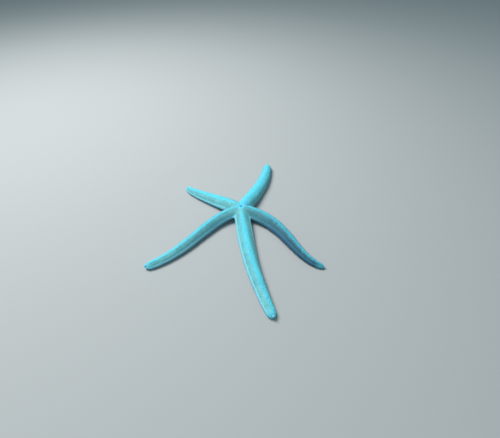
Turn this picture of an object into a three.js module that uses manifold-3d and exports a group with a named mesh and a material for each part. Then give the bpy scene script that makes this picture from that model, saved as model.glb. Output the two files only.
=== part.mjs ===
// A slender five-armed sea star at life size, lying still on a flat floor.
// Units are millimetres and degrees, +Z is up and the floor is z = 0.
// The body is modelled whole and then parted with thin cuts into a disc and three lengths
// of each arm. Headings are measured in the floor's plane, anticlockwise from +X.
import * as THREE from 'three';
import { ParametricGeometry } from 'three/addons/geometries/ParametricGeometry.js';
import { mergeVertices } from 'three/addons/utils/BufferGeometryUtils.js';
import Module from 'manifold-3d';

const wasm = await Module();
wasm.setup();

// ---- Driving dimensions ------------------------------------------------------------------

// Where the middle of the disc stands, so that the whole body's box is centred on the origin.
const DISC_CENTRE = { x: 4.93, y: 16.34 };

// Each arm: its length from the middle of the disc, the headings of its centreline at the
// disc, at one third, at two thirds and at the tip, its half breadth near the disc, how much
// of that it has lost at the tip, the length of its rounded end in half breadths, and how far
// out the disc ends and the free arm begins.
const ARMS = [
  { name: 'arm_right', length: 108.8, headings: [350.8, 316.1, 301.3, 343.2],
    halfBreadth: 8.6, taper: 0.65, tipRounding: 1.6, freeFrom: 19 },
  { name: 'arm_back', length: 94.8, headings: [68.2, 63.3, 72.3, 87.2],
    halfBreadth: 8.7, taper: 0.38, tipRounding: 1.1, freeFrom: 19 },
  { name: 'arm_back_left', length: 79.9, headings: [143.2, 147.8, 148.8, 132],
    halfBreadth: 9.1, taper: 0.60, tipRounding: 1.6, freeFrom: 24 },
  { name: 'arm_front_left', length: 115.2, headings: [185.3, 227.5, 226.3, 202.8],
    halfBreadth: 7.6, taper: 0.42, tipRounding: 1.6, freeFrom: 24 },
  { name: 'arm_front', length: 124.8, headings: [277.4, 279.5, 286, 293],
    halfBreadth: 8.45, taper: 0.45, tipRounding: 1.5, freeFrom: 19 },
];
const LENGTHS = ['base', 'middle', 'tip'];   // the equal lengths that each free arm is parted into

// The arm's section, as shares of its half breadth or of its height.
const HEIGHT_TO_HALF_BREADTH = 1.42;
const RIDGE_POWER = 1.7;                 // 2 is an ellipse, 1 is a roof
const WIDEST_AT = 0.36;                  // height of the broadest line of the flanks
const SOLE_SHARE = 0.60;                 // half breadth of the flat underside
const TIP_POWER = 2.2;                   // 2 rounds the end like an ellipse
const TIP_CENTRE_AT = 0.38;              // height of the very tip

// The disc, which stands a little off the floor over the mouth.
const ARCH = 2.5;                        // height of the underside over the floor at the middle
const LANDING = 40;                      // distance from the middle where the arms meet the floor
const DISC_HALF_BREADTH = 8.6;           // half breadth that every arm starts from at the middle
const DISC_BLEND = 15;                   // distance over which each arm takes its own breadth
const CUSHION_RADIUS = 13.6;             // body that fills the corners between the arms
const CUSHION_TOP = 11;
const ANUS_RADIUS = 1.5;
const ANUS_DEPTH = 1.3;

// The grooves of the tube feet, which meet in the mouth.
const FURROW_SHARE = 0.22;               // half width, as a share of the arm's half breadth
const FURROW_DEPTH_SHARE = 0.34;         // depth, as a share of the arm's half breadth
const MOUTH_RADIUS = 3.2;
const MOUTH_DEPTH = 4.2;

// Small plates let into the skin.
const SIEVE_PLATE = {
  radius: 2.4, length: 1.15, flatness: 0.5,
  rise: 0.65,                            // its top over the skin
  distance: 6.5, heading: 40,            // from the middle of the disc
  tilt: 14,                              // down, away from the middle
};
const TIP_PLATE = {
  radius: 1.3, onHalfBreadth: 4.5,       // its radius on a tip of that half breadth
  thickness: 0.8,                        // as a share of its radius
  setBack: 0.9,                          // from the very tip, in its radii
  depth: 0.7,                            // of its middle under the skin, in its radii
  tilt: 30,
};

const GAP = 0.3;                         // clear space between neighbouring pieces
const TALL = 60;                         // more than the height of the whole animal
const RINGS = 18;                        // rings along an arm before its rounded tip
const TIP_RINGS = 5;
const RIDGE_STEPS = 10;                  // facets over the top of an arm's section
const CORNER_STEPS = 3;                  // facets round each lower edge

const BODY_COLOUR = 0x9fc9c6;
const PLATE_COLOUR = 0x7fb4c8;

// ---- The centreline and breadth of an arm ----------------------------------------------------

const smooth = (t) => {
  const k = THREE.MathUtils.clamp(t, 0, 1);
  return k * k * (3 - 2 * k);
};

// The cubic through four values spaced evenly from 0 to 1.
function throughFour([a, b, c, d], u) {
  const k = 3 * u;
  return a * (1 - k) * (2 - k) * (3 - k) / 6 + b * k * (2 - k) * (3 - k) / 2
    + c * k * (k - 1) * (3 - k) / 2 + d * k * (k - 1) * (k - 2) / 6;
}

const archAt = (s) => ARCH * (1 - smooth(s / LANDING));

const headingAt = (arm, s) => THREE.MathUtils.degToRad(throughFour(arm.headings, s / arm.length));

// The point and heading of the centreline at distance s from the middle of the disc.
function along(arm, s) {
  const steps = 60;
  const step = s / steps;
  const place = new THREE.Vector3(0, 0, archAt(s));
  for (let i = 0; i < steps; i += 1) {
    const heading = headingAt(arm, (i + 0.5) * step);
    place.x += Math.cos(heading) * step;
    place.y += Math.sin(heading) * step;
  }
  return { place, heading: headingAt(arm, s) };
}

function halfBreadthAt(arm, s) {
  const u = s / arm.length;
  const own = arm.halfBreadth * (1 - arm.taper * u * u);
  return THREE.MathUtils.lerp(DISC_HALF_BREADTH, own, smooth(s / DISC_BLEND));
}

// Where an arm's rounded end begins, and how much is left of its section beyond that.
const roundedFrom = (arm) => arm.length - arm.tipRounding * halfBreadthAt(arm, arm.length);

function shrinkAt(arm, s) {
  const share = Math.max(s - roundedFrom(arm), 0) / (arm.length - roundedFrom(arm));
  return Math.sqrt(1 - share ** TIP_POWER);
}

// ---- Solids ----------------------------------------------------------------------------------

// A closed three.js geometry as a solid for joining and cutting.
function solid(geometry) {
  const bare = geometry.index ? geometry.toNonIndexed() : geometry.clone();
  bare.deleteAttribute('normal');
  bare.deleteAttribute('uv');
  const merged = mergeVertices(bare, 1e-4);
  const corners = merged.index.array;
  const kept = [];
  for (let i = 0; i < corners.length; i += 3) {
    const [a, b, c] = [corners[i], corners[i + 1], corners[i + 2]];
    if (a !== b && b !== c && c !== a) kept.push(a, b, c);
  }
  return new wasm.Manifold(new wasm.Mesh({
    numProp: 3,
    vertProperties: new Float32Array(merged.attributes.position.array),
    triVerts: new Uint32Array(kept),
  }));
}

// A closed skin over rings of points, each ring a list of Vector3, closed to a point at each end.
function loft(rings) {
  const around = rings[0].length;
  const middle = (ring) => ring.reduce((sum, p) => sum.add(p), new THREE.Vector3()).divideScalar(around);
  const ends = [middle(rings[0]), middle(rings[rings.length - 1])];
  const rows = rings.length + 1;
  const pointAt = (u, v, target) => {
    const row = Math.round(v * rows);
    if (row === 0) target.copy(ends[0]);
    else if (row === rows) target.copy(ends[1]);
    else target.copy(rings[row - 1][(around - Math.round(u * around)) % around]);
  };
  return solid(new ParametricGeometry(pointAt, around, rows));
}

// Points of an arm's section as [across, up], from its half breadth and height, anticlockwise.
function armSection(halfBreadth, height) {
  const widest = WIDEST_AT * height;
  const sole = SOLE_SHARE * halfBreadth;
  const points = [];
  for (let i = 0; i <= RIDGE_STEPS; i += 1) {
    const angle = Math.PI * i / RIDGE_STEPS;
    const across = Math.sign(Math.cos(angle)) * Math.abs(Math.cos(angle)) ** (2 / RIDGE_POWER);
    const up = Math.abs(Math.sin(angle)) ** (2 / RIDGE_POWER);
    points.push([halfBreadth * across, widest + (height - widest) * up]);
  }
  const corner = (angle) => [sole + (halfBreadth - sole) * Math.cos(angle), widest * (1 - Math.sin(angle))];
  const angles = Array.from({ length: CORNER_STEPS }, (_, i) => Math.PI / 2 * (i + 1) / CORNER_STEPS);
  for (const angle of angles) {
    const [across, up] = corner(angle);
    points.push([-across, up]);
  }
  for (const angle of angles.toReversed()) points.push(corner(angle));
  return points;
}

// A section's points carried to their place on an arm.
function ringAt(arm, s, points) {
  const { place, heading } = along(arm, s);
  const left = new THREE.Vector3(-Math.sin(heading), Math.cos(heading), 0);
  return points.map(([across, up]) => place.clone().addScaledVector(left, -across).setZ(place.z + up));
}

function armSolid(arm) {
  const straight = roundedFrom(arm);
  const rings = [];
  for (let i = 0; i <= RINGS; i += 1) {
    const s = straight * i / RINGS;
    const halfBreadth = halfBreadthAt(arm, s);
    rings.push(ringAt(arm, s, armSection(halfBreadth, HEIGHT_TO_HALF_BREADTH * halfBreadth)));
  }
  for (let i = 1; i <= TIP_RINGS; i += 1) {
    const s = THREE.MathUtils.lerp(straight, arm.length, Math.sin(Math.PI / 2 * i / (TIP_RINGS + 0.35)));
    const halfBreadth = halfBreadthAt(arm, s);
    const height = HEIGHT_TO_HALF_BREADTH * halfBreadth;
    const shrink = shrinkAt(arm, s);
    const centre = TIP_CENTRE_AT * height;
    const points = armSection(halfBreadth, height)
      .map(([across, up]) => [across * shrink, centre + (up - centre) * shrink]);
    rings.push(ringAt(arm, s, points));
  }
  return loft(rings);
}

// The cutter for an arm's groove: a low arch in section, running out at the tip.
function furrowSolid(arm) {
  const below = -2;
  const end = roundedFrom(arm);
  const rings = [];
  for (let i = 0; i <= RINGS; i += 1) {
    const s = end * i / RINGS;
    const halfWidth = FURROW_SHARE * halfBreadthAt(arm, s);
    const depth = FURROW_DEPTH_SHARE * halfBreadthAt(arm, s);
    const points = [[halfWidth, below], [halfWidth, 0], [0.8 * halfWidth, 0.6 * depth], [0, depth],
      [-0.8 * halfWidth, 0.6 * depth], [-halfWidth, 0], [-halfWidth, below]];
    rings.push(ringAt(arm, s, points));
  }
  return loft(rings);
}

// The low body in the corners between the arms, turned about the middle of the disc.
function cushionSolid() {
  const outline = new THREE.CatmullRomCurve3([
    [0, ARCH], [CUSHION_RADIUS - 2.2, 2.1], [CUSHION_RADIUS - 0.4, 3.4], [CUSHION_RADIUS, 5.2],
    [CUSHION_RADIUS - 1.8, 8.2], [0.5 * CUSHION_RADIUS, CUSHION_TOP - 0.7], [0, CUSHION_TOP],
  ].map(([x, y]) => new THREE.Vector3(x, y, 0)), false, 'centripetal');
  const profile = outline.getPoints(12).map((p) => new THREE.Vector2(Math.max(p.x, 0), p.y));
  profile[0].x = 0;
  profile[profile.length - 1].x = 0;
  return solid(new THREE.LatheGeometry(profile, 30).rotateX(Math.PI / 2));
}

// A squashed ball, for the anal pit, the mouth, the sieve plate and the plates at the tips.
function ball(radii, steps = 12) {
  return solid(new THREE.SphereGeometry(1, steps, steps / 2).rotateX(Math.PI / 2)
    .scale(radii[0], radii[1], radii[2]));
}

const ridgeHeight = ARCH + HEIGHT_TO_HALF_BREADTH * DISC_HALF_BREADTH;

const anusPit = () => ball([ANUS_RADIUS, ANUS_RADIUS, ANUS_DEPTH]).translate([0, 0, ridgeHeight]);

const mouthPit = () => ball([MOUTH_RADIUS, MOUTH_RADIUS, MOUTH_DEPTH]).translate([0, 0, ARCH]);

function wholeBody() {
  const flesh = wasm.Manifold.union([cushionSolid(), ...ARMS.map(armSolid)]);
  return wasm.Manifold.difference([flesh, anusPit(), mouthPit(), ...ARMS.map(furrowSolid)]);
}

// ---- The small plates -------------------------------------------------------------------------

// Height of a body's surface over a point of the floor's plane.
function topOver(body, x, y) {
  const breadth = 0.05;
  const needle = solid(new THREE.BoxGeometry(breadth, breadth, TALL)).translate([x, y, 0]);
  return needle.intersect(body).boundingBox().max[2];
}

// The sieve plate: an oval boss on the disc, off centre between the right and the back arm.
function sievePlate(body, grow) {
  const heading = THREE.MathUtils.degToRad(SIEVE_PLATE.heading);
  const x = SIEVE_PLATE.distance * Math.cos(heading);
  const y = SIEVE_PLATE.distance * Math.sin(heading);
  const radius = SIEVE_PLATE.radius;
  const halfHeight = SIEVE_PLATE.flatness * radius;
  return ball([radius * SIEVE_PLATE.length + grow, radius + grow, halfHeight + grow])
    .rotate([SIEVE_PLATE.tilt, 0, SIEVE_PLATE.heading + 90])
    .translate([x, y, topOver(body, x, y) - halfHeight + SIEVE_PLATE.rise]);
}

// The plate that caps an arm's tip, tilted to look up and outwards.
function tipPlate(arm, grow) {
  const size = TIP_PLATE.radius * halfBreadthAt(arm, arm.length) / TIP_PLATE.onHalfBreadth;
  const seat = arm.length - TIP_PLATE.setBack * size;
  const { place, heading } = along(arm, seat);
  const height = HEIGHT_TO_HALF_BREADTH * halfBreadthAt(arm, seat);
  const top = height * THREE.MathUtils.lerp(TIP_CENTRE_AT, 1, shrinkAt(arm, seat));
  return ball([size + grow, TIP_PLATE.thickness * size + grow, size + grow])
    .rotate([-TIP_PLATE.tilt, 0, THREE.MathUtils.radToDeg(heading) - 90])
    .translate([place.x, place.y, top - TIP_PLATE.depth * size]);
}

// ---- Parting the body into named pieces --------------------------------------------------------

// How far out each of an arm's lengths begins.
const startsOf = (arm) => LENGTHS
  .map((_, i) => arm.freeFrom + (arm.length - arm.freeFrom) * i / LENGTHS.length);

// A thin slab across an arm at distance s.
function slab(arm, s) {
  const { place, heading } = along(arm, s);
  const across = 2 * (halfBreadthAt(arm, s) + 1);
  return solid(new THREE.BoxGeometry(GAP, across, TALL))
    .rotate([0, 0, THREE.MathUtils.radToDeg(heading)])
    .translate([place.x, place.y, 0]);
}

// Which piece a severed body is: the station of the arm, or of the disc, nearest its middle.
function nameOf(piece) {
  const box = piece.boundingBox();
  const middle = new THREE.Vector3().fromArray(box.min).add(new THREE.Vector3().fromArray(box.max))
    .multiplyScalar(0.5).setZ(0);
  const stations = [{ name: 'disc', place: new THREE.Vector3() }];
  for (const arm of ARMS) {
    const halfLength = (arm.length - arm.freeFrom) / LENGTHS.length / 2;
    startsOf(arm).forEach((start, i) => stations
      .push({ name: `${arm.name}_${LENGTHS[i]}`, place: along(arm, start + halfLength).place.setZ(0) }));
  }
  stations.sort((a, b) => a.place.distanceTo(middle) - b.place.distanceTo(middle));
  return stations[0].name;
}

// ---- The model ---------------------------------------------------------------------------------

const skin = () => new THREE.MeshStandardMaterial({ color: BODY_COLOUR, roughness: 0.7, metalness: 0 });
const plate = () => new THREE.MeshStandardMaterial({ color: PLATE_COLOUR, roughness: 0.8, metalness: 0 });

const group = new THREE.Group();

// One finished sub-part, moved so that the whole stands centred on the origin.
function addPiece(name, body, material) {
  const mesh = body.translate([DISC_CENTRE.x, DISC_CENTRE.y, 0]).getMesh();
  const geometry = new THREE.BufferGeometry();
  geometry.setAttribute('position', new THREE.BufferAttribute(mesh.vertProperties, 3));
  geometry.setIndex(new THREE.BufferAttribute(mesh.triVerts, 1));
  geometry.computeVertexNormals();
  const piece = new THREE.Mesh(geometry, material);
  piece.name = name;
  group.add(piece);
}

const body = wholeBody();
const plateSeats = [sievePlate(body, GAP), ...ARMS.map((arm) => tipPlate(arm, GAP))];
const slabs = ARMS.flatMap((arm) => startsOf(arm).map((s) => slab(arm, s)));
const parted = wasm.Manifold.difference([body, ...plateSeats, ...slabs]);

for (const piece of parted.decompose()) addPiece(nameOf(piece), piece, skin());
addPiece('sieve_plate', sievePlate(body, 0), plate());
for (const arm of ARMS) addPiece(`${arm.name}_end_plate`, tipPlate(arm, 0), plate());

export default group;
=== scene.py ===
import math
from random import Random

import bpy
import numpy as np
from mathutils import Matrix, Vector


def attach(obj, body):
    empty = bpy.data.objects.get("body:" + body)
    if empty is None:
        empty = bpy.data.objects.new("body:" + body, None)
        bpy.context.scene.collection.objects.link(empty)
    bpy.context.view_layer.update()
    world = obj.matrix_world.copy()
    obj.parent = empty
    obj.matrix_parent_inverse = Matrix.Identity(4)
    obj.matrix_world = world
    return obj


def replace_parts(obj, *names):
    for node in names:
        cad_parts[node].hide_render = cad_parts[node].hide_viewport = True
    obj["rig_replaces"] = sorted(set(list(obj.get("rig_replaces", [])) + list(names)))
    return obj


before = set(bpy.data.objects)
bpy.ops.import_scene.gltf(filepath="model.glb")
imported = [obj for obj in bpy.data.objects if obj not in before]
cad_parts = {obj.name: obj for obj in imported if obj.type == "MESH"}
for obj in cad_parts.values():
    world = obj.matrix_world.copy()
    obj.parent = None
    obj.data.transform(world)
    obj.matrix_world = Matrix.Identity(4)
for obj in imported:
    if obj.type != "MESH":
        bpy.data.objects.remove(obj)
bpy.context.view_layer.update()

MM = 0.001

# ---- The animal's plan, as in the solids ----

DISC_CENTRE = Vector((4.93, 16.34, 0)) * MM
ARCH = 2.5 * MM                 # height of the underside over the floor at the middle of the disc
LANDING = 40 * MM               # distance from the middle where the arms meet the floor
DISC_HALF_BREADTH = 8.6 * MM    # half breadth that every arm starts from at the middle
DISC_BLEND = 15 * MM            # distance over which each arm takes its own breadth
HEIGHT_TO_HALF_BREADTH = 1.42
RIDGE_POWER = 1.7               # 2 is an ellipse, 1 is a roof
WIDEST_AT = 0.36                # height of the broadest line of the flanks, as a share
SOLE_SHARE = 0.60               # half breadth of the flat underside, as a share
TIP_POWER = 2.2                 # 2 rounds the tips like an ellipse
TIP_CENTRE_AT = 0.38            # height of the very tip, as a share
FURROW_SHARE = 0.22             # half width of the tube feet's groove, in half breadths
FURROW_DEPTH_SHARE = 0.34
CUSHION_RADIUS = 13.6 * MM
CUSHION_TOP = 11 * MM
RIDGE_TOP = ARCH + HEIGHT_TO_HALF_BREADTH * DISC_HALF_BREADTH
ANUS_RADIUS = 1.5 * MM
ANUS_DEPTH = 2.0 * MM
MOUTH_RADIUS = 3.2 * MM
MOUTH_DEPTH = 4.2 * MM

# Headings are at the disc, one third, two thirds and the tip, in degrees from +X; the rounding of
# the tip is its length in half breadths there.
ARMS = {
    "arm_right": dict(length=108.8 * MM, headings=(350.8, 316.1, 301.3, 343.2),
                      half_breadth=8.6 * MM, taper=0.65, rounding=1.6),
    "arm_back": dict(length=94.8 * MM, headings=(68.2, 63.3, 72.3, 87.2),
                     half_breadth=8.7 * MM, taper=0.38, rounding=1.1),
    "arm_back_left": dict(length=79.9 * MM, headings=(143.2, 147.8, 148.8, 132),
                          half_breadth=9.1 * MM, taper=0.60, rounding=1.6),
    "arm_front_left": dict(length=115.2 * MM, headings=(185.3, 227.5, 226.3, 202.8),
                           half_breadth=7.6 * MM, taper=0.42, rounding=1.6),
    "arm_front": dict(length=124.8 * MM, headings=(277.4, 279.5, 286, 293),
                      half_breadth=8.45 * MM, taper=0.45, rounding=1.5),
}


def smooth(t):
    """Ease from 0 to 1."""
    t = min(max(t, 0.0), 1.0)
    return t * t * (3 - 2 * t)


def through_four(values, u):
    """The cubic through four values spaced evenly from 0 to 1."""
    a, b, c, d = values
    k = 3 * u
    return (a * (1 - k) * (2 - k) * (3 - k) / 6 + b * k * (2 - k) * (3 - k) / 2
            + c * k * (k - 1) * (3 - k) / 2 + d * k * (k - 1) * (k - 2) / 6)


def arch_at(s):
    """Height of the underside over the floor, at a distance from the middle of the disc."""
    return ARCH * (1 - smooth(s / LANDING))


def heading_at(arm, s):
    """An arm's heading in radians, at a distance along it."""
    return math.radians(through_four(arm["headings"], s / arm["length"]))


def along(arm, s):
    """The point under an arm's middle line on its underside, and its heading there."""
    steps = 60
    step = s / steps
    place = DISC_CENTRE + Vector((0, 0, arch_at(s)))
    for i in range(steps):
        heading = heading_at(arm, (i + 0.5) * step)
        place += Vector((math.cos(heading), math.sin(heading), 0)) * step
    return place, heading_at(arm, s)


def half_breadth_at(arm, s):
    """Half an arm's breadth: all start from the disc's and then take their own."""
    own = arm["half_breadth"] * (1 - arm["taper"] * (s / arm["length"]) ** 2)
    mix = smooth(s / DISC_BLEND)
    return DISC_HALF_BREADTH * (1 - mix) + own * mix


def rounded_from(arm):
    """Where an arm's rounded tip begins and its groove runs out."""
    return arm["length"] - arm["rounding"] * half_breadth_at(arm, arm["length"])


# ---- Small helpers for modelling as by hand ----

def only(obj):
    """Deselect everything, then make this the one selected and active object."""
    for other in bpy.context.selected_objects:
        other.select_set(False)
    obj.select_set(True)
    bpy.context.view_layer.objects.active = obj


def added(name):
    """Name the primitive just added, with its place put in its mesh."""
    obj = bpy.context.active_object
    obj.name = name
    obj.data.name = name
    only(obj)
    bpy.ops.object.transform_apply(location=True, rotation=True, scale=True)
    return obj


def copy_of(obj, name):
    other = obj.copy()
    other.data = obj.data.copy()
    other.name = name
    other.data.name = name
    bpy.context.collection.objects.link(other)
    return other


def modify(obj, kind, **settings):
    """Add a modifier with its settings and apply it."""
    only(obj)
    bpy.ops.object.modifier_add(type=kind)
    modifier = obj.modifiers[-1]
    for key, value in settings.items():
        setattr(modifier, key, value)
    bpy.ops.object.modifier_apply(modifier=modifier.name)


def edit(obj):
    """Enter edit mode with nothing selected."""
    only(obj)
    bpy.ops.object.mode_set(mode="EDIT")
    bpy.ops.mesh.select_all(action="DESELECT")


def pick(obj, test, mode="VERT"):
    """Select, in edit mode, just the corners or faces whose place passes the test."""
    bpy.ops.mesh.select_mode(type=mode)
    bpy.ops.mesh.select_all(action="DESELECT")
    bpy.ops.object.mode_set(mode="OBJECT")
    items = obj.data.vertices if mode == "VERT" else obj.data.polygons
    for item in items:
        item.select = test(item.co if mode == "VERT" else item.center)
    bpy.ops.object.mode_set(mode="EDIT")


def pick_all():
    bpy.ops.mesh.select_all(action="SELECT")


def extrude(move):
    """Extrude what is selected, and move it."""
    bpy.ops.mesh.extrude_region_move(TRANSFORM_OT_translate={"value": move})


def stretch(x, y, z):
    """Resize what is selected about the origin."""
    bpy.ops.transform.resize(value=(x, y, z), center_override=(0, 0, 0))


def turn_by(angle, axis, about=(0, 0, 0)):
    """Turn what is selected round an axis through a point. With no window the tool turns the other
    way, hence the minus."""
    bpy.ops.transform.rotate(value=-angle, orient_axis=axis, center_override=about)


def done():
    bpy.ops.object.mode_set(mode="OBJECT")


def join(objects, name):
    only(objects[0])
    for obj in objects:
        obj.select_set(True)
    bpy.ops.object.join()
    joined = bpy.context.active_object
    joined.name = name
    joined.data.name = name
    return joined


def remove(obj):
    bpy.data.objects.remove(obj, do_unlink=True)


def linear(hexadecimal):
    """An sRGB hex colour as linear RGBA."""
    channels = [int(hexadecimal[i:i + 2], 16) / 255 for i in (0, 2, 4)]
    return [c / 12.92 if c <= 0.04045 else ((c + 0.055) / 1.055) ** 2.4 for c in channels] + [1.0]


# ---- Camera, light and floor ----

CAMERA_DOWN = 45                # degrees below level
CAMERA_AT = DISC_CENTRE + Vector((9.33, -234.60, 229.12)) * MM
LENS = 21.6                     # in millimetres, as is the sensor's breadth
SENSOR = 36
KEY_LIGHT = dict(place=(-0.43, 0.27, 0.86), size=0.6, power=10.1)
FLOOR_BREADTH = 6
FLOOR_COLOUR = "BCBDBD"
SKY_COLOUR = "CEF6FF"
SKY_STRENGTH = 0.30


def add_camera():
    data = bpy.data.cameras.new("camera")
    data.lens = LENS
    data.sensor_width = SENSOR
    data.clip_start = 0.01
    data.clip_end = 10
    camera = bpy.data.objects.new("camera", data)
    camera.location = CAMERA_AT
    camera.rotation_euler = (math.radians(90 - CAMERA_DOWN), 0, 0)
    bpy.context.collection.objects.link(camera)
    bpy.context.scene.camera = camera


def add_light(name, place, size, power):
    data = bpy.data.lights.new(name, "AREA")
    data.shape = "DISK"
    data.size = size
    data.energy = power
    light = bpy.data.objects.new(name, data)
    light.location = Vector(place)
    light.rotation_euler = (DISC_CENTRE - Vector(place)).to_track_quat("-Z", "Y").to_euler()
    bpy.context.collection.objects.link(light)


def add_floor():
    bpy.ops.mesh.primitive_plane_add(size=FLOOR_BREADTH, location=(0, 0, 0))
    floor = added("floor")
    material = bpy.data.materials.new("pale studio paper")
    material.use_nodes = True
    shader = material.node_tree.nodes["Principled BSDF"]
    shader.inputs["Base Color"].default_value = linear(FLOOR_COLOUR)
    shader.inputs["Roughness"].default_value = 0.9
    floor.data.materials.append(material)


def add_sky():
    """Even light from all round, tinted like daylight under clear water."""
    world = bpy.data.worlds.new("studio")
    world.use_nodes = True
    background = world.node_tree.nodes["Background"]
    background.inputs["Color"].default_value = linear(SKY_COLOUR)
    background.inputs["Strength"].default_value = SKY_STRENGTH
    bpy.context.scene.world = world


add_camera()
add_floor()
add_light("key", **KEY_LIGHT)
add_sky()
bpy.context.scene.view_settings.view_transform = "Standard"

# ---- The skin: one mesh over the disc and all five arms ----

SECTION_SIDES = 28
SECTION_FAN = 5                 # degrees of the section that are drawn in together
SOLE_CORNER = 0.12              # how far beyond the sole its nearest corners start, as a share
STATION_STEP = 3.2 * MM
TIP_STATIONS = 7
TIP_OPEN = 0.3                  # part of a station that is left before the very tip
CLOSE = 0.01 * MM               # nearer than this is on the line
CUSHION_FLAT_FROM = 0.8         # where the cushion's underside turns flat, as a share
VOXEL = 0.56 * MM
HOLLOW_VOXEL = 0.7 * VOXEL


def arm_section():
    """A filled ring with the arms' section at the middle of the disc, facing +X."""
    r = DISC_HALF_BREADTH
    upper = HEIGHT_TO_HALF_BREADTH * (1 - WIDEST_AT)
    lower = HEIGHT_TO_HALF_BREADTH * WIDEST_AT
    bpy.ops.mesh.primitive_circle_add(vertices=SECTION_SIDES, radius=r, fill_type="NGON",
                                      rotation=(math.pi / 2, 0, math.pi / 2))
    ring = added("arm_section")
    edit(ring)
    # The flanks above the broadest line draw in from an ellipse towards a roof.
    for start in range(0, 90, SECTION_FAN):
        middle = start + SECTION_FAN / 2
        angle = math.radians(middle)
        pull = (math.cos(angle) ** RIDGE_POWER + math.sin(angle) ** RIDGE_POWER) ** (-1 / RIDGE_POWER)
        pick(ring, lambda co: co.z > CLOSE
             and abs(math.degrees(math.atan2(co.z, abs(co.y))) - middle) <= SECTION_FAN / 2)
        stretch(1, pull, pull)
    pick(ring, lambda co: co.z > CLOSE)
    stretch(1, 1, upper)
    pick(ring, lambda co: co.z < -CLOSE)
    stretch(1, 1, lower)
    # The sole is flat.
    pick(ring, lambda co: abs(co.y) < (SOLE_SHARE + SOLE_CORNER) * r and co.z < 0)
    bpy.ops.transform.resize(value=(1, 1, 0), center_override=(0, 0, -lower * r))
    pick_all()
    bpy.ops.transform.translate(value=(0, 0, lower * r))
    done()
    return ring


def sweep(obj, arm, end, start_size, size_at):
    """Extrude an object's one face along an arm, turning and resizing it at each station."""
    count = round(end / STATION_STEP)
    before, heading = along(arm, 0)
    size = start_size
    edit(obj)
    pick_all()
    turn_by(heading, "Z")
    bpy.ops.transform.translate(value=before)
    for i in range(1, count + 1):
        s = end * i / count
        place, turned = along(arm, s)
        extrude(place - before)
        turn_by(turned - heading, "Z", place)
        grow = size_at(s) / size
        bpy.ops.transform.resize(value=(grow, grow, grow), center_override=place)
        before, heading, size = place, turned, size_at(s)
    return before, heading, size


def arm_body(section, name):
    """One arm, from the middle of the disc to its rounded tip."""
    arm = ARMS[name]
    body = copy_of(section, name)
    straight = rounded_from(arm)
    before, heading, size = sweep(body, arm, straight, DISC_HALF_BREADTH,
                                  lambda s: half_breadth_at(arm, s))
    shrink = 1.0
    for i in range(1, TIP_STATIONS + 1):
        share = math.sin(math.pi / 2 * i / (TIP_STATIONS + TIP_OPEN))
        s = straight + (arm["length"] - straight) * share
        place, turned = along(arm, s)
        smaller = math.sqrt(1 - share ** TIP_POWER) * half_breadth_at(arm, s) / size
        rise = Vector((0, 0, TIP_CENTRE_AT * HEIGHT_TO_HALF_BREADTH * size))
        extrude(place - before)
        turn_by(turned - heading, "Z", place)
        grow = smaller / shrink
        bpy.ops.transform.resize(value=(grow, grow, grow), center_override=place + rise)
        before, heading, shrink = place, turned, smaller
    done()
    modify(body, "SUBSURF", levels=1, render_levels=1)
    return body


def furrow_cutter(name):
    """The shape taken out of an arm's underside for the groove of the tube feet."""
    arm = ARMS[name]
    bpy.ops.mesh.primitive_circle_add(vertices=14, radius=FURROW_SHARE * DISC_HALF_BREADTH,
                                      fill_type="NGON", rotation=(math.pi / 2, 0, math.pi / 2))
    cutter = added("furrow_" + name)
    edit(cutter)
    pick_all()
    stretch(1, 1, FURROW_DEPTH_SHARE / FURROW_SHARE)
    done()
    sweep(cutter, arm, rounded_from(arm), DISC_HALF_BREADTH, lambda s: half_breadth_at(arm, s))
    done()
    return cutter


def cushion():
    """The low body in the corners between the arms."""
    bpy.ops.mesh.primitive_uv_sphere_add(segments=40, ring_count=20, radius=CUSHION_RADIUS)
    ball = added("cushion")
    edit(ball)
    pick_all()
    half_height = (CUSHION_TOP - ARCH) / 2
    stretch(1, 1, half_height / CUSHION_RADIUS)
    pick(ball, lambda co: co.z < -CUSHION_FLAT_FROM * half_height)
    bpy.ops.transform.resize(value=(1, 1, 0), center_override=(0, 0, -half_height))
    pick_all()
    bpy.ops.transform.translate(value=DISC_CENTRE + Vector((0, 0, ARCH + half_height)))
    done()
    return ball


def pit(name, radius, depth, height):
    """A rounded hollow in the middle of the disc, at a height."""
    bpy.ops.mesh.primitive_uv_sphere_add(segments=24, ring_count=12, radius=radius,
                                         location=DISC_CENTRE + Vector((0, 0, height)),
                                         scale=(1, 1, depth / radius))
    return added(name)


def build_skin():
    """The arms and the cushion fused to one mesh, with the grooves, mouth and anus taken out."""
    section = arm_section()
    skin = join([cushion()] + [arm_body(section, name) for name in ARMS], "skin")
    remove(section)
    hollows = [furrow_cutter(name) for name in ARMS]
    hollows.append(pit("anus_pit", ANUS_RADIUS, ANUS_DEPTH, RIDGE_TOP))
    hollows.append(pit("mouth_pit", MOUTH_RADIUS, MOUTH_DEPTH, ARCH))
    hollows = join(hollows, "hollows")
    # Bodies that overlap are fused to one before the hollows are taken out.
    modify(skin, "REMESH", mode="VOXEL", voxel_size=VOXEL)
    modify(hollows, "REMESH", mode="VOXEL", voxel_size=HOLLOW_VOXEL)
    modify(skin, "BOOLEAN", operation="DIFFERENCE", solver="EXACT", object=hollows)
    remove(hollows)
    modify(skin, "REMESH", mode="VOXEL", voxel_size=VOXEL, use_smooth_shade=True)
    modify(skin, "SMOOTH", factor=0.5, iterations=4)
    return skin


FLESH = ["disc"] + [f"{arm}_{length}" for arm in ARMS for length in ("base", "middle", "tip")]


# ---- Where each point of the skin lies on the animal ----

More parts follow.
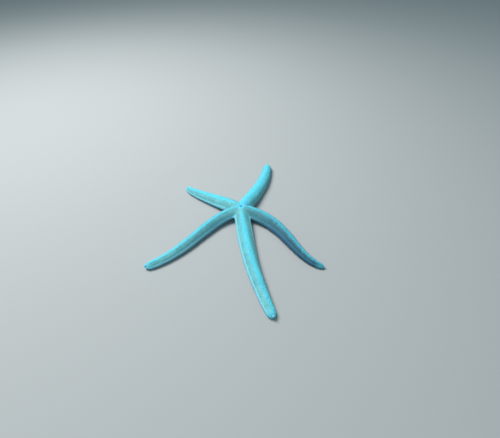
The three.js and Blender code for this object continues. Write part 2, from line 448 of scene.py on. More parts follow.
# The zones round an arm end at these turns from the ridge, in radians.
STRIP_TO = 0.5                  # pale middle strip
PORES_TO = 1.2                  # band of pores
UPPER_PLATES_TO = 1.72
LOWER_PLATES_TO = 2.24
STRIP_FULL = 34 * MM            # where the middle strip reaches its breadth
ARM_STRETCH = 0.2               # room for one arm on the chart of the skin

LAY_STATIONS = 90               # points of an arm's middle line that the skin is laid by
LAY_PART = 20000                # corners of the skin laid at a time
BEHIND = 1.0                    # added for a point behind an arm's start, so it is laid on another

# How each arm's markings lie, at the disc, one third, two thirds and the tip: how far they lean from
# the ridge in degrees, at what turns the bands of pores left and right of it end, and its depth, which
# is painted shade and painted light over the whole arm: 1 is the plain colour, less is painted shade,
# deeper and bluer, and more is painted light. The strip is the half breadth of the middle strip beside
# the anus and where it is full. Turns are in radians.
MARKINGS = {
    "arm_right": dict(lean=(0, 20, 22, 14), left=(1.5, 1.5, 1.36, 1.3), right=(1.5, 1.5, 1.36, 1.3),
                      depth=(0.9, 0.42, 0.26, 0.26), strip=(0.12, 0.44)),
    "arm_back": dict(lean=(0, 4, 4, 4), left=(1.3, 1.3, 1.3, 1.3), right=(1.6, 1.75, 1.75, 1.75),
                     depth=(1, 0.96, 0.92, 0.88), strip=(0.85, 1.08)),
    "arm_back_left": dict(lean=(0, -3, -2, 0), left=(1.2, 1.4, 1.4, 1.4), right=(1.2, 1.4, 1.4, 1.4),
                          depth=(1, 1.04, 1.02, 1), strip=(0.10, 0.50)),
    "arm_front_left": dict(lean=(0, -14, -14, -14), left=(1.4, 1.5, 1.5, 1.5),
                           right=(1.4, 1.5, 1.5, 1.5), depth=(1, 0.78, 0.90, 1.05),
                           strip=(0.10, 0.38)),
    "arm_front": dict(lean=(0, 2, 17, 38), left=(1.25, 1.3, 1.6, 1.85), right=(1.2, 1.2, 1.45, 1.85),
                      depth=(1, 1, 1, 1.06), strip=(0.06, 0.50)),
}


def turn_by_zones(turn, strip, pores):
    """Stretch a turn so that every zone ends at one value on all arms."""
    inside, between = np.abs(turn) / strip, (np.abs(turn) - strip) / (pores - strip)
    outside = (np.abs(turn) - pores) / (math.pi - pores)
    return np.where(inside < 1, inside * STRIP_TO,
                    np.where(between < 1, STRIP_TO + between * (PORES_TO - STRIP_TO),
                             PORES_TO + outside * (math.pi - PORES_TO)))


def lay_on_arm(points, number, name):
    """The lay of each point as if it were on one arm, and how far it is from that arm's line."""
    arm, marks = ARMS[name], MARKINGS[name]
    stations = np.linspace(0.0, arm["length"], LAY_STATIONS)
    places = np.array([along(arm, s)[0][:2] for s in stations])
    headings = np.array([heading_at(arm, s) for s in stations])
    nearest = np.empty(len(points), int)
    for start in range(0, len(points), LAY_PART):
        part = points[start:start + LAY_PART, None, :2] - places[None]
        nearest[start:start + LAY_PART] = (part ** 2).sum(2).argmin(1)
    away = points[:, :2] - places[nearest]
    ahead = np.stack([np.cos(headings), np.sin(headings)], 1)[nearest]
    left = np.stack([-ahead[:, 1], ahead[:, 0]], 1)
    s = np.clip(stations[nearest] + (away * ahead).sum(1), 0, arm["length"])
    lateral = (away * left).sum(1)
    behind = np.where((nearest == 0) & ((away * ahead).sum(1) < 0), BEHIND, 0.0)
    size = np.array([half_breadth_at(arm, q) for q in stations])[nearest]
    floor = np.array([arch_at(q) for q in stations])[nearest]
    up = points[:, 2] - floor - WIDEST_AT * HEIGHT_TO_HALF_BREADTH * size
    reach = s / arm["length"]
    turn = np.arctan2(lateral, up) - np.radians(through_four(marks["lean"], reach))
    opened = np.clip(s / STRIP_FULL, 0, 1)
    strip = np.interp(opened ** 2 * (3 - 2 * opened), (0, 1), marks["strip"])
    pores = np.where(turn > 0, through_four(marks["left"], reach), through_four(marks["right"], reach))
    # The depth row is the arm's painted shade and painted light.
    own = np.stack([s, turn_by_zones(turn, strip, pores), reach, through_four(marks["depth"], reach),
                    s + number * ARM_STRETCH, turn * size])
    return own, np.abs(lateral) + behind


def lay_of(points):
    """For each point: its distance along its arm, its turn round the arm from the ridge by zones,
    its share of the arm's length, its arm's depth (painted shade and painted light), its place on a
    chart of the skin, and how near it is to the next arm."""
    best = np.full(len(points), np.inf)
    second = np.full(len(points), np.inf)
    rows = np.zeros((6, len(points)))
    for number, name in enumerate(ARMS):
        own, score = lay_on_arm(points, number, name)
        closer = score < best
        second = np.where(closer, best, np.minimum(second, score))
        best[closer] = score[closer]
        rows[:, closer] = own[:, closer]
    return rows, second - best


# depth carries each arm's painted shade and painted light.
LAY = ("along", "turn", "reach", "depth")


def corners_of(mesh):
    points = np.empty(len(mesh.vertices) * 3)
    mesh.vertices.foreach_get("co", points)
    return points.reshape(-1, 3)


def mark_lay(obj):
    """Write the lay of each corner as attributes that the patterns read."""
    rows, to_next = lay_of(corners_of(obj.data))
    for name, values in zip(LAY, rows):
        attribute = obj.data.attributes.new(name, "FLOAT", "POINT")
        attribute.data.foreach_set("value", values.astype(np.float32))
    chart = np.stack([rows[4], rows[5], np.zeros(len(to_next))], 1)
    attribute = obj.data.attributes.new("chart", "FLOAT_VECTOR", "POINT")
    attribute.data.foreach_set("vector", chart.ravel().astype(np.float32))
    return to_next


VALLEY = 2.5 * MM               # breadth of the rounding in the valleys between arms


def soften_valleys(skin, to_next):
    """Round out the valleys where the arms run together."""
    group = skin.vertex_groups.new(name="valley")
    for vertex, value in zip(skin.data.vertices, to_next):
        weight = 1 - value / VALLEY
        if weight > 0 and vertex.co.z > 2 * ARCH:
            group.add([vertex.index], weight, "REPLACE")
    modify(skin, "SMOOTH", factor=0.5, iterations=25, vertex_group="valley")
    skin.vertex_groups.clear()


# ---- Node trees ----

MATH = "ShaderNodeMath"
RANGE = "ShaderNodeMapRange"
MIX = "ShaderNodeMix"
NAMED = "GeometryNodeInputNamedAttribute"
NOISE = "ShaderNodeTexNoise"
VORONOI = "ShaderNodeTexVoronoi"
EASED = dict(interpolation_type="SMOOTHSTEP")
ON_CHART = dict(voronoi_dimensions="2D", feature="F1")     # cells that lie on the unrolled skin


def add(tree, kind, inputs=(), output=0, **settings):
    """Add a node with its settings, set or link its inputs by order or by name, and give one of
    its outputs."""
    node = tree.nodes.new(kind)
    for key, value in settings.items():
        setattr(node, key, value)
    for socket, value in inputs.items() if isinstance(inputs, dict) else enumerate(inputs):
        if isinstance(value, bpy.types.NodeSocket):
            tree.links.new(value, node.inputs[socket])
        else:
            node.inputs[socket].default_value = value
    return node.outputs[output] if len(node.outputs) else None


def new_group(name):
    """A node group for geometry, and the geometry that comes into it."""
    tree = bpy.data.node_groups.new(name, "GeometryNodeTree")
    tree.interface.new_socket("Geometry", in_out="INPUT", socket_type="NodeSocketGeometry")
    tree.interface.new_socket("Geometry", in_out="OUTPUT", socket_type="NodeSocketGeometry")
    return tree, add(tree, "NodeGroupInput")


# ---- The pattern of the skin, read by its relief and by its colours ----

EDGE_PLATE = 2.4 * MM           # length of an edge plate
BACK_PLATE = 2.2 * MM           # breadth of a plate of the back
PORE_STEP = 1.05 * MM           # distance between pores
PORE = 0.27 * MM                # radius of a pore
GRANULE = 0.42 * MM             # breadth of the finest skin granules
SHADE = 7 * MM                  # breadth of a patch of shade in the band of pores
WANDER = 3 * MM                 # length over which the pale crest's border wanders
ANUS_RING_TO = 5.5 * MM         # where the pale ring round the anus ends
SIEVE_RING = (2.2 * MM, 4.4 * MM)   # where the blue round the sieve plate fades
SWELL = 13 * MM                 # breadth of a low swelling of the skin

# Heights of the relief in millimetres. The skin is lowered so that it stays inside the solids.
CREST_RISE = 0.18
PORE_RISE = 0.10
PORE_FLOOR = -0.20
UPPER_RISE = 0.20
LOWER_RISE = 0.18
SWELLING = 0.9
LOWERED = -0.83
RELIEF_FROM = 0.25 * MM         # height over the floor where the relief begins
RELIEF_FULL = 1.6 * MM


def zone(tree, turn, start, full, fading, end):
    """0 before the start and past the end, 1 between full and fading."""
    up = add(tree, RANGE, (turn, start, full), **EASED)
    down = add(tree, RANGE, (turn, fading, end, 1, 0), **EASED)
    return add(tree, MATH, (up, down), operation="MULTIPLY")


def edge_plates(tree, along_arm, turn, low, high, shift):
    """Rounded plates in a row along the arm's edge, between two turns: 1 on top, 0 in the joints."""
    place = add(tree, MATH, (along_arm, 1 / EDGE_PLATE, shift), operation="MULTIPLY_ADD")
    share = add(tree, MATH, (place, 0.5), operation="PINGPONG")
    on_plate = add(tree, RANGE, (share, 0.0, 0.3), **EASED)
    slope = 0.65 * (high - low) / 2
    in_row = zone(tree, turn, low, low + slope, high - slope, high)
    return add(tree, MATH, (on_plate, in_row), operation="MULTIPLY")


def edge_rows(tree, along_arm, turn):
    """The upper and the lower row of edge plates, laid like bricks."""
    return (edge_plates(tree, along_arm, turn, PORES_TO, UPPER_PLATES_TO, 0.0),
            edge_plates(tree, along_arm, turn, UPPER_PLATES_TO, LOWER_PLATES_TO, 0.5))


def relief_group():
    """A node group that raises the plates of the skin along its normals, all but on the sole."""
    tree, source = new_group("plate_relief")
    along_arm = add(tree, NAMED, ("along",))
    turn = add(tree, NAMED, ("turn",))
    chart = add(tree, NAMED, ("chart",), data_type="FLOAT_VECTOR")
    position = add(tree, "GeometryNodeInputPosition")
    to_plate = add(tree, VORONOI, {"Vector": chart, "Scale": 1 / BACK_PLATE}, "Distance", **ON_CHART)
    plates = add(tree, RANGE, (to_plate, 0.15, 0.75, 1, 0), **EASED)
    on_strip = add(tree, RANGE, (turn, STRIP_TO - 0.08, STRIP_TO + 0.08, CREST_RISE, 0), **EASED)
    in_pores = zone(tree, turn, STRIP_TO - 0.05, STRIP_TO + 0.15, PORES_TO - 0.15, PORES_TO)
    sunken = add(tree, MATH, (plates, PORE_RISE, PORE_FLOOR), operation="MULTIPLY_ADD")
    swell = add(tree, NOISE, {"Vector": position, "Scale": 1 / SWELL, "Detail": 1.0})
    upper, lower = edge_rows(tree, along_arm, turn)
    parts = [
        (on_strip, plates),
        (in_pores, sunken),
        (upper, UPPER_RISE),
        (lower, LOWER_RISE),
        (swell, SWELLING),
    ]
    height = LOWERED
    for share, most in parts:
        height = add(tree, MATH, (share, most, height), operation="MULTIPLY_ADD")
    over_floor = add(tree, "ShaderNodeSeparateXYZ", (position,), "Z")
    free = add(tree, RANGE, (over_floor, RELIEF_FROM, RELIEF_FULL, 0, MM), **EASED)
    on_flank = add(tree, RANGE, (turn, LOWER_PLATES_TO - 0.04, LOWER_PLATES_TO + 0.26, 1, 0), **EASED)
    free = add(tree, MATH, (free, on_flank), operation="MULTIPLY")
    height = add(tree, MATH, (height, free), operation="MULTIPLY")
    offset = add(tree, "ShaderNodeVectorMath", {0: add(tree, "GeometryNodeInputNormal"), "Scale": height},
                 operation="SCALE")
    moved = add(tree, "GeometryNodeSetPosition", {"Geometry": source, "Offset": offset})
    add(tree, "NodeGroupOutput", (moved,))
    return tree


# ---- Materials ----

FLESH_IOR = 1.4                 # typical of wet tissue


def new_material(name):
    """A material, its tree and its shader."""
    material = bpy.data.materials.new(name)
    material.use_nodes = True
    return material, material.node_tree, material.node_tree.nodes["Principled BSDF"]


def middle_of(node):
    """The middle of a solid's box."""
    corners = [Vector(corner) for corner in bpy.data.objects[node].bound_box]
    return sum(corners, Vector()) / len(corners)


def over(tree, colour, layers, **settings):
    """Lay colours one over another, each by its share, where 1 is all of it."""
    for share, upper in layers:
        colour = add(tree, MIX, {0: share, 6: colour, 7: upper}, 2, data_type="RGBA", **settings)
    return colour


def read_lay(tree):
    """The lay of the skin at the shaded point, and the point's place, by name."""
    lay = {name: add(tree, "ShaderNodeAttribute", (), "Fac", attribute_name=name) for name in LAY}
    lay["chart"] = add(tree, "ShaderNodeAttribute", (), "Vector", attribute_name="chart")
    lay["place"] = add(tree, "ShaderNodeTexCoord", (), "Object")
    return lay


def band_colour(tree, lay):
    """The sunken band of pores: patches in two shades, with painted shade for the hole at each pore."""
    patches = add(tree, NOISE, {"Vector": lay["place"], "Scale": 1 / SHADE, "Detail": 3.0})
    patches = add(tree, RANGE, (patches, 0.38, 0.62), **EASED)
    to_pore = add(tree, VORONOI, {"Vector": lay["chart"], "Scale": 1 / PORE_STEP}, "Distance", **ON_CHART)
    radius = PORE / PORE_STEP
    # Painted shade in each pore's hole.
    pore_hole_shade = add(tree, RANGE, (to_pore, 0.6 * radius, 1.3 * radius, 0.75, 0), **EASED)
    return over(tree, linear("74C6CC"), [(patches, linear("84D8DE")), (pore_hole_shade, linear("456F78"))])


def flank_colour(tree, lay, joints):
    """From the crest down: the band of pores, a pale line, two rows of edge plates with a faint
    pale line between them, and the paved underside."""
    turn = lay["turn"]
    in_pores = add(tree, RANGE, (turn, PORES_TO - 0.13, PORES_TO - 0.02, 1, 0), **EASED)
    first_line = zone(tree, turn, PORES_TO - 0.14, PORES_TO - 0.02, PORES_TO + 0.12, PORES_TO + 0.32)
    second_line = zone(tree, turn, UPPER_PLATES_TO - 0.08, UPPER_PLATES_TO,
                       UPPER_PLATES_TO + 0.02, UPPER_PLATES_TO + 0.10)
    second_line = add(tree, MATH, (second_line, 0.4), operation="MULTIPLY")
    underneath = add(tree, RANGE, (turn, LOWER_PLATES_TO - 0.12, LOWER_PLATES_TO + 0.25), **EASED)
    plates = add(tree, MATH, edge_rows(tree, lay["along"], turn), operation="ADD")
    plates = add(tree, RANGE, (plates, 0.0, 0.5), **EASED)
    pale_line = linear("9AECF9")
    paving = over(tree, linear("C4E2DC"), [(joints, linear("9DC4C2"))])
    return over(tree, linear("6FB2CC"), [
        (plates, linear("8FD2E6")),
        (underneath, paving),
        (second_line, pale_line),
        (in_pores, band_colour(tree, lay)),
        (first_line, pale_line)])


def on_crest(tree, lay):
    """Where the pale crest lies: the middle strip, whose border wanders a little and runs into the
    band beside it, the ring round the anus, and the tips."""
    wander = add(tree, NOISE, {"Vector": lay["place"], "Scale": 1 / WANDER, "Detail": 2.0})
    wandering = add(tree, MATH, (wander, 0.5, lay["turn"]), operation="MULTIPLY_ADD")
    on_strip = add(tree, RANGE, (wandering, STRIP_TO - 0.07, STRIP_TO + 0.55, 1, 0), **EASED)
    round_anus = add(tree, RANGE, (lay["along"], ANUS_RADIUS, ANUS_RING_TO, 1, 0), **EASED)
    at_tip = add(tree, RANGE, (lay["reach"], 0.91, 0.99, 0, 0.8), **EASED)
    pale = add(tree, MATH, (on_strip, round_anus), operation="MAXIMUM")
    return add(tree, MATH, (pale, at_tip), operation="MAXIMUM")


def skin_material():
    """Granular skin of a sea star: limy plates under a thin skin set with fine granules, so it is
    matt and a little wet, with pale plates along its ridges and edges and a sunken band of pores
    down each side of every arm."""
    material, tree, shader = new_material("granular sea star skin")
    lay = read_lay(tree)
    to_plate = add(tree, VORONOI, {"Vector": lay["chart"], "Scale": 1 / BACK_PLATE}, "Distance", **ON_CHART)
    joints = add(tree, RANGE, (to_plate, 0.5, 0.8), **EASED)
    granules = {"Vector": lay["place"], "Scale": 1 / GRANULE}
    speck = add(tree, VORONOI, granules, "Color", feature="SMOOTH_F1")
    speck = add(tree, "ShaderNodeSeparateColor", (speck,), "Red")
    speck = add(tree, RANGE, (speck, 0.3, 0.7, 0, 0.35), **EASED)
    darker = add(tree, MATH, (joints, 0.4, speck), operation="MULTIPLY_ADD")
    crest = over(tree, linear("74EDFC"), [(darker, linear("5CC9EE"))])
    from_sieve = add(tree, "ShaderNodeVectorMath", (lay["place"], middle_of("sieve_plate")), "Value",
                     operation="DISTANCE")
    by_sieve = add(tree, RANGE, (from_sieve, *SIEVE_RING, 0.7, 0), **EASED)
    # Painted shade inside the anus pit, in deep blue.
    anus_pit_shade = add(tree, RANGE, (lay["along"], 0.6 * ANUS_RADIUS, 1.6 * MM, 1, 0), **EASED)

    # Each arm's painted shade, deeper and bluer where its depth is under 1, and painted light where it
    # is over 1, is full on its flanks, and part of it lies over the crest too.
    painted_shade_and_light = over(tree, linear("006088"), [(lay["depth"], linear("FFFFFF"))], clamp_factor=False)
    colour = over(tree, flank_colour(tree, lay, joints), [(1.0, painted_shade_and_light)], blend_type="MULTIPLY")
    colour = over(tree, colour, [
        (on_crest(tree, lay), crest),
        (by_sieve, linear("68D4F6")),
        (anus_pit_shade, linear("2C9EC8"))])
    colour = over(tree, colour, [(0.4, painted_shade_and_light)], blend_type="MULTIPLY")
    tree.links.new(colour, shader.inputs["Base Color"])
    shader.inputs["Roughness"].default_value = 0.62
    shader.inputs["IOR"].default_value = FLESH_IOR
    grain = add(tree, VORONOI, granules, "Distance", feature="SMOOTH_F1")
    normal = add(tree, "ShaderNodeBump", {"Height": grain, "Strength": 0.8, "Distance": 0.15 * MM},
                 invert=True)
    tree.links.new(normal, shader.inputs["Normal"])
    return material


skin = build_skin()
soften_valleys(skin, mark_lay(skin))
modify(skin, "NODES", node_group=relief_group())
only(skin)
bpy.ops.object.shade_smooth()
skin_look = skin_material()
skin.data.materials.append(skin_look)
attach(skin, "root")
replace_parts(skin, *FLESH)

# ---- Granules standing on the skin ----

BEAD_RADIUS = 0.5 * MM
TRIES = 8                       # points tried in each square of the granules' spacing
GRANULES_FROM = 1.2 * MM        # height over the floor from which granules stand
OPEN_PORE = 0.42                # radius left open round a pore, in pore steps
UNEVEN = 0.2                    # granules are up to this share larger or smaller
PATCH = 0.0015                  # half the breadth of one granule's patch on the baking chart
CHART_MARGIN = 0.02
CHART_LENGTH = 130 * MM         # length and breadth of the room for one unrolled arm
CHART_BREADTH = 60 * MM
ROW_SHARE = 0.9                 # part of its row on the chart that an arm fills


def scatter_group(name, shape, spacing, low, high, scale):
    """A node group that sets copies of a shape over the skin where the turn is in a range,
    leaving the pores and the anus open."""
    tree, source = new_group(name)
    turn = add(tree, NAMED, ("turn",))
    chart = add(tree, NAMED, ("chart",), data_type="FLOAT_VECTOR")
    over_floor = add(tree, "ShaderNodeSeparateXYZ", (add(tree, "GeometryNodeInputPosition"),), "Z")
    half = (high - low) / 2
    in_range = add(tree, MATH, (turn, low + half, half), operation="COMPARE")
    points = add(tree, "GeometryNodeDistributePointsOnFaces",
                 {"Mesh": source, "Selection": in_range, "Distance Min": spacing,
                  "Density Max": TRIES / spacing ** 2, "Seed": 4}, "Points", distribute_method="POISSON")
    upright = points.node.outputs["Normal"]
    stored = add(tree, "GeometryNodeStoreNamedAttribute",
                 {"Geometry": points, "Name": "upright", "Value": upright},
                 data_type="FLOAT_VECTOR", domain="POINT")
    too_low = add(tree, MATH, (over_floor, GRANULES_FROM), operation="LESS_THAN")
    middle = (STRIP_TO + PORES_TO - 0.1) / 2
    in_pores = add(tree, MATH, (turn, middle, middle - STRIP_TO), operation="COMPARE")
    to_pore = add(tree, VORONOI, {"Vector": chart, "Scale": 1 / PORE_STEP}, "Distance", **ON_CHART)
    on_pore = add(tree, MATH, (to_pore, OPEN_PORE), operation="LESS_THAN")
    unwanted = add(tree, MATH, (in_pores, on_pore, too_low), operation="MULTIPLY_ADD")
    in_pit = add(tree, MATH, (add(tree, NAMED, ("along",)), ANUS_RADIUS), operation="LESS_THAN")
    unwanted = add(tree, MATH, (unwanted, in_pit), operation="ADD")
    kept = add(tree, "GeometryNodeDeleteGeometry", {"Geometry": stored, "Selection": unwanted},
               domain="POINT")
    sizes = {2: (1 - UNEVEN) * scale, 3: (1 + UNEVEN) * scale, "Seed": 9}
    size = add(tree, "FunctionNodeRandomValue", sizes, 1, data_type="FLOAT")
    granule = add(tree, "GeometryNodeObjectInfo", {"Object": shape}, "Geometry")
    upright = add(tree, NAMED, ("upright",), data_type="FLOAT_VECTOR")
    turned = add(tree, "FunctionNodeAlignRotationToVector", {"Vector": upright}, axis="Z")
    placed = add(tree, "GeometryNodeInstanceOnPoints",
                 {"Points": kept, "Instance": granule, "Rotation": turned, "Scale": size})
    add(tree, "NodeGroupOutput", (add(tree, "GeometryNodeRealizeInstances", (placed,)),))
    return tree


def chart_for_baking(obj, corners):
    """Give every granule a small patch of the map, at its root's place on the unrolled arms."""
    mesh = obj.data
    chart = np.empty(3 * len(mesh.vertices))
    mesh.attributes["chart"].data.foreach_get("vector", chart)
    x, y, _ = chart.reshape(-1, 3).T
    number = np.floor(x / ARM_STRETCH)
    u = CHART_MARGIN + (1 - 2 * CHART_MARGIN) * (x - number * ARM_STRETCH) / CHART_LENGTH
    v = (number + 0.5 + ROW_SHARE * y / CHART_BREADTH) / len(ARMS)
    angle = np.arange(len(mesh.vertices)) % corners * 2 * math.pi / corners
    u, v = u + PATCH * np.cos(angle), v + PATCH * np.sin(angle)
    loops = np.empty(len(mesh.loops), int)
    mesh.loops.foreach_get("vertex_index", loops)
    layer = mesh.uv_layers.new(name="OFBake")
    layer.uv.foreach_set("vector", np.stack([u[loops], v[loops]], 1).ravel().astype(np.float32))


def bead():
    """A low domed granule of a few faces, its foot just under the skin."""
    top = 0.05 * MM
    foot = 0.2 * MM
    bpy.ops.mesh.primitive_cylinder_add(vertices=6, radius=BEAD_RADIUS, depth=foot,
                                        location=(0, 0, top - foot / 2))
    obj = added("bead")
    edit(obj)
    pick(obj, lambda co: co.z > top - CLOSE, mode="FACE")
    extrude((0, 0, 0.15 * MM))
    bpy.ops.transform.resize(value=(0.72, 0.72, 0.72))
    bpy.ops.mesh.poke(offset=0.06 * MM)
    done()
    bpy.ops.object.shade_smooth()
    return obj


def scatter(name, shape, spacing, low, high, scale):
    """Copies of a shape over part of the skin, as one mesh with the skin's markings."""
    obj = copy_of(skin, name)
    del obj["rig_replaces"]      # the skin alone stands for the solids
    modify(obj, "NODES", node_group=scatter_group(name, shape, spacing, low, high, scale))
    chart_for_baking(obj, len(shape.data.vertices))
    obj.data.materials.clear()
    obj.data.materials.append(skin_look)
    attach(obj, "root")
    return obj


small_bead = bead()
scatter("ridge_granules", small_bead, 0.66 * MM, 0.0, STRIP_TO, 0.78)
scatter("edge_granules", small_bead, 0.76 * MM, PORES_TO - 0.05, LOWER_PLATES_TO + 0.15, 0.88)
scatter("pore_granules", small_bead, 0.575 * MM, STRIP_TO, PORES_TO - 0.05, 0.52)
remove(small_bead)

# ---- Pieces of their own: sieve plate, end plates, eyespots, mouth, spines and tube feet ----

def bumpy_material(name, light, dark, breadth, roughness):
    """A matt limy or fleshy surface in two close shades, in grains of a breadth in metres."""
    material, tree, shader = new_material(name)
    place = add(tree, "ShaderNodeTexCoord", (), "Object")
    share = add(tree, NOISE, {"Vector": place, "Scale": 1 / breadth, "Detail": 3.0})
    share = add(tree, RANGE, (share, 0.35, 0.65), **EASED)
    colour = over(tree, linear(light), [(share, linear(dark))])
    tree.links.new(colour, shader.inputs["Base Color"])
    shader.inputs["Roughness"].default_value = roughness
    shader.inputs["IOR"].default_value = FLESH_IOR
    grains = add(tree, VORONOI, {"Vector": place, "Scale": 2 / breadth}, "Distance",
                 feature="SMOOTH_F1")
    normal = add(tree, "ShaderNodeBump", {"Height": grains, "Strength": 0.5, "Distance": 0.05 * MM},
                 invert=True)
    tree.links.new(normal, shader.inputs["Normal"])
    return material


def finish_piece(obj, material, slot, *nodes):
    """Smooth shading, a material and a ride for a finished piece."""
    only(obj)
    bpy.ops.object.shade_smooth()
    obj.data.materials.clear()
    obj.data.materials.append(material)
    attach(obj, "root")
    if nodes:
        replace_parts(obj, *nodes)
    return obj


def set_out(shape, name, spots):
    """Copies of a shape at places, turns and sizes, joined to one piece."""
    copies = []
    for place, turn, size in spots:
        other = copy_of(shape, name)
        other.location, other.rotation_euler, other.scale = place, turn, (size, size, size)
        copies.append(other)
    joined = join(copies, name)
    bpy.ops.object.transform_apply(location=True, rotation=True, scale=True)
    return joined


SIEVE = dict(radius=2.4 * MM, length=1.15, height=0.5, tilt=math.radians(14), turn=math.radians(130))
SIEVE_FURROWS = 17
FURROWS_FROM = 0.35 * MM        # distance from the sieve plate's middle where its furrows begin
FURROW_WIND = 0.9               # how far the sieve plate's furrows wind, in a third of their spacing
FURROW_WINDS = 9                # how often, in radians from the middle to the rim
END_PLATE_RADIUS = 1.3 * MM
END_PLATE_AT = 4.5 * MM         # half breadth of a tip whose end plate has that radius
END_PLATE_TILT = math.radians(30)
END_PLATE_FLAT = 0.8            # its thickness along the arm, as a share
WITHIN = 0.97                   # keeps it inside its solid
EYESPOT = dict(radius=0.24 * MM, set_back=0.45 * MM, height=0.30)


def sieve_plate(material):
    """The oval plate that lets water in, cut by winding furrows that run out from its middle."""
    segments = 3 * SIEVE_FURROWS
    bpy.ops.mesh.primitive_uv_sphere_add(segments=segments, ring_count=18, radius=SIEVE["radius"])
    obj = added("sieve_plate_body")
    edit(obj)
    step = 2 * math.pi / segments

    def in_furrow(co):
        flat = math.hypot(co.x, co.y)
        wind = FURROW_WIND * math.sin(FURROW_WINDS * flat / SIEVE["radius"])
        return (co.z > 0.15 * MM and flat > FURROWS_FROM
                and round(math.atan2(co.y, co.x) / step + wind) % 3 == 0)

    pick(obj, in_furrow)
    bpy.ops.transform.shrink_fatten(value=-0.13 * MM)
    pick_all()
    stretch(SIEVE["length"], 1, SIEVE["height"])
    turn_by(SIEVE["tilt"], "X")
    turn_by(SIEVE["turn"], "Z")
    bpy.ops.transform.translate(value=middle_of("sieve_plate"))
    done()
    modify(obj, "SUBSURF", levels=1, render_levels=1)
    return finish_piece(obj, material, "plate", "sieve_plate")


def end_plate(name, material):
    """The plate at an arm's tip, swollen above and hollowed below over the eyespot."""
    arm = ARMS[name]
    size = END_PLATE_RADIUS * half_breadth_at(arm, arm["length"]) / END_PLATE_AT
    heading = heading_at(arm, arm["length"])
    bpy.ops.mesh.primitive_uv_sphere_add(segments=28, ring_count=16, radius=size)
    obj = added(name + "_end_cap")
    edit(obj)
    # A notch for the eye in the lower outer face, and a shallow dent down the middle of the top.
    pick(obj, lambda co: co.z < -0.2 * size and co.y > 0.2 * size and abs(co.x) < 0.35 * size)
    bpy.ops.transform.translate(value=(0, -0.25 * size, 0.2 * size))
    pick(obj, lambda co: co.z > 0.3 * size and abs(co.x) < 0.12 * size)
    bpy.ops.transform.translate(value=(0, 0, -0.06 * size))
    pick_all()
    stretch(WITHIN, END_PLATE_FLAT * WITHIN, WITHIN)
    turn_by(-END_PLATE_TILT, "X")
    turn_by(heading - math.pi / 2, "Z")
    bpy.ops.transform.translate(value=middle_of(name + "_end_plate"))
    done()
    modify(obj, "SUBSURF", levels=1, render_levels=1)
    return finish_piece(obj, material, "plate", name + "_end_plate")


def eyespots(material):
    """A red cushion of pigment under each arm's end plate, a little further in on broad tips."""
    bpy.ops.mesh.primitive_uv_sphere_add(segments=14, ring_count=8, radius=EYESPOT["radius"])
    spot = added("eyespot")
    edit(spot)
    pick_all()
    stretch(1, 0.7, 0.8)
    done()
    spots = []
    for arm in ARMS.values():
        size = half_breadth_at(arm, arm["length"])
        place, heading = along(arm, arm["length"] - EYESPOT["set_back"] - 0.05 * size)
        height = EYESPOT["height"] * HEIGHT_TO_HALF_BREADTH * size
        spots.append((place + Vector((0, 0, height)), (0, 0, heading - math.pi / 2), size / END_PLATE_AT))
    piece = set_out(spot, "eyespots", spots)
    remove(spot)
    return finish_piece(piece, material, "plate")


FOOT_LENGTH = 2.22 * MM
FOOT_AT = 8.5 * MM              # half breadth of an arm whose feet have that length
FOOT_CLEAR = 0.17 * MM          # how far the feet end over the floor
FOOT_PROFILE = ((0.5, 0.72), (0.6, 0.95), (0.5, 0.95), (0.18, 1.75), (0.14, 0.98))
FEET = dict(start=5.2 * MM, end=1.0 * MM, step=1.55 * MM, aside=0.11)


def tube_foot():
    """A stem that narrows from its root and ends in a sucker, hanging down from the origin."""
    root = 0.3 * MM
    bpy.ops.mesh.primitive_cylinder_add(vertices=8, radius=0.36 * MM, depth=root,
                                        location=(0, 0, -root / 2))
    foot = added("tube_foot")
    edit(foot)
    pick(foot, lambda co: co.z < CLOSE - root, mode="FACE")
    for down, grow in FOOT_PROFILE:
        extrude((0, 0, -down * MM))
        bpy.ops.transform.resize(value=(grow, grow, grow))
    # The sucker is hollow.
    bpy.ops.mesh.inset(thickness=0.12 * MM)
    bpy.ops.transform.translate(value=(0, 0, 0.1 * MM))
    done()
    return foot


def tube_feet(material, random):
    """Two rows of feet in the groove of every arm, from the mouth to the tip."""
    foot = tube_foot()
    spots = []
    for arm in ARMS.values():
        s = FEET["start"]
        while s < rounded_from(arm) - FEET["end"]:
            size = half_breadth_at(arm, s) / FOOT_AT
            place, heading = along(arm, s)
            aside = Vector((-math.sin(heading), math.cos(heading), 0)) * FEET["aside"] * FOOT_AT * size
            root = place + Vector((0, 0, (FOOT_LENGTH + FOOT_CLEAR) * size))
            for side in (-1, 1):
                lean = [random.uniform(-0.12, 0.12), side * random.uniform(-0.04, 0.14)]
                spots.append((root + side * aside, (*lean, random.uniform(0, math.pi)),
                              size * random.uniform(0.86, 1.0)))
            s += FEET["step"] * (0.45 + 0.55 * size)
    piece = set_out(foot, "tube_feet", spots)
    remove(foot)
    return finish_piece(piece, material, "skin")


PEG_PROFILE = ((0.3, 0.92), (0.14, 0.72), (0.06, 0.5))


def peg(name, radius, length):
    """A blunt spine of a few faces, lying from the origin towards +X."""
    bpy.ops.mesh.primitive_cylinder_add(vertices=6, radius=radius, depth=0.5 * length, end_fill_type="NGON",
                                        location=(0.25 * length, 0, 0), rotation=(0, math.pi / 2, 0))
    obj = added(name)
    edit(obj)
    pick(obj, lambda co: co.x > 0.49 * length, mode="FACE")
    for ahead, grow in PEG_PROFILE:
        extrude((ahead * length, 0, 0))
        bpy.ops.transform.resize(value=(grow, grow, grow))
    done()
    return obj


FURROW_SPINE = dict(radius=0.24 * MM, length=0.85 * MM)
SPINES = dict(start=6.0 * MM, end=0.8 * MM, step=0.95 * MM, aside=0.12 * MM, height=0.55 * MM)


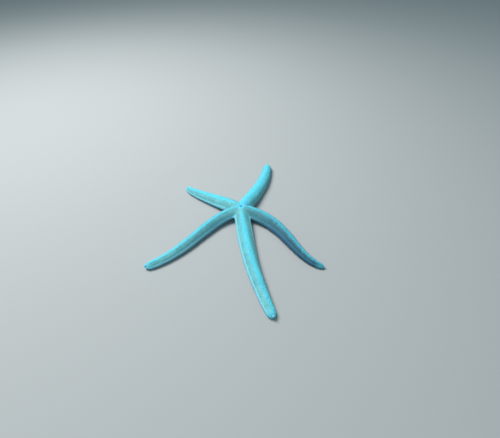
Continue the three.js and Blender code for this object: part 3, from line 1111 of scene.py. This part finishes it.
def furrow_spines(material, random):
    """A comb of blunt spines along both lips of every groove, leaning over it."""
    spine = peg("furrow_spine", **FURROW_SPINE)
    spots = []
    for arm in ARMS.values():
        s = SPINES["start"]
        while s < rounded_from(arm) - SPINES["end"]:
            half = half_breadth_at(arm, s)
            size = half / FOOT_AT
            place, heading = along(arm, s)
            for side in (-1, 1):
                aside = Vector((-math.sin(heading), math.cos(heading), 0)) * side
                lip = aside * (FURROW_SHARE * half + SPINES["aside"])
                root = place + lip + Vector((0, 0, SPINES["height"] * size))
                facing = heading - side * math.pi / 2 + random.uniform(-0.15, 0.15)
                spots.append((root, (0, random.uniform(0.2, 0.36), facing), size))
            s += SPINES["step"] * math.sqrt(size)
    piece = set_out(spine, "furrow_spines", spots)
    remove(spine)
    return finish_piece(piece, material, "plate")


MEMBRANE_RADIUS = 3.0 * MM
MEMBRANE_HEIGHT = ARCH + 2.7 * MM
MEMBRANE_FLAT = 0.3
MEMBRANE_OPENING = ((0.9, 0.5), (0.6, 0.9), (0.35, 1.2))
PLEATS = 20
JAW_SPINE = dict(radius=0.34 * MM, length=1.7 * MM)


def mouth_membrane(material):
    """The pleated membrane round the mouth."""
    bpy.ops.mesh.primitive_uv_sphere_add(segments=2 * PLEATS, ring_count=16, radius=MEMBRANE_RADIUS)
    membrane = added("mouth_membrane")
    edit(membrane)
    step = math.pi / PLEATS
    pick(membrane, lambda co: round(math.atan2(co.y, co.x) / step) % 2 == 0
         and 0.6 * MM < math.hypot(co.x, co.y) < 2.6 * MM and co.z < 0)
    bpy.ops.transform.translate(value=(0, 0, 0.5 * MM))
    # The opening in the middle draws upwards.
    for reach, up in MEMBRANE_OPENING:
        pick(membrane, lambda co: co.z < 0 and math.hypot(co.x, co.y) < reach * MM)
        bpy.ops.transform.translate(value=(0, 0, up * MM))
    pick_all()
    stretch(1, 1, MEMBRANE_FLAT)
    bpy.ops.transform.translate(value=DISC_CENTRE + Vector((0, 0, MEMBRANE_HEIGHT)))
    done()
    modify(membrane, "SUBSURF", levels=1, render_levels=1)
    return finish_piece(membrane, material, "skin")


def jaw_spines(material, random):
    """A fan of blunt spines on each of the five jaws, pointing into the mouth."""
    spine = peg("jaw_spine", **JAW_SPINE)
    spots = []
    starts = sorted(arm["headings"][0] % 360 for arm in ARMS.values())
    for first, second in zip(starts, starts[1:] + [starts[0] + 360]):
        middle = math.radians((first + second) / 2)
        for i in range(-2, 3):
            turn = middle + 0.13 * i
            out = 3.5 * MM + 0.25 * MM * abs(i)
            root = DISC_CENTRE + Vector((math.cos(turn) * out, math.sin(turn) * out, ARCH + 0.45 * MM))
            spots.append((root, (0, random.uniform(-0.05, 0.2), turn + math.pi - 0.10 * i),
                          random.uniform(0.85, 1.0)))
    piece = set_out(spine, "jaw_spines", spots)
    remove(spine)
    return finish_piece(piece, material, "plate")


random = Random(11)
limy_blue = bumpy_material("limy plate tinted blue", "64D2F6", "4CBEEC", 0.5 * MM, 0.55)
limy_tip = bumpy_material("granular limy end plate", "88DEF6", "74CEEE", 0.5 * MM, 0.6)
limy_pale = bumpy_material("limy spine under thin skin", "CFE9E6", "A9CFCF", 0.4 * MM, 0.6)
thin_flesh = bumpy_material("thin wet flesh", "D9E2C4", "B4C7AC", 0.7 * MM, 0.4)
pigment = bumpy_material("red eye pigment", "9C3A2A", "74241A", 0.2 * MM, 0.45)
sieve_plate(limy_blue)
for arm_name in ARMS:
    end_plate(arm_name, limy_tip)
eyespots(pigment)
tube_feet(thin_flesh, random)
furrow_spines(limy_pale, random)
mouth_membrane(thin_flesh)
jaw_spines(limy_pale, random)
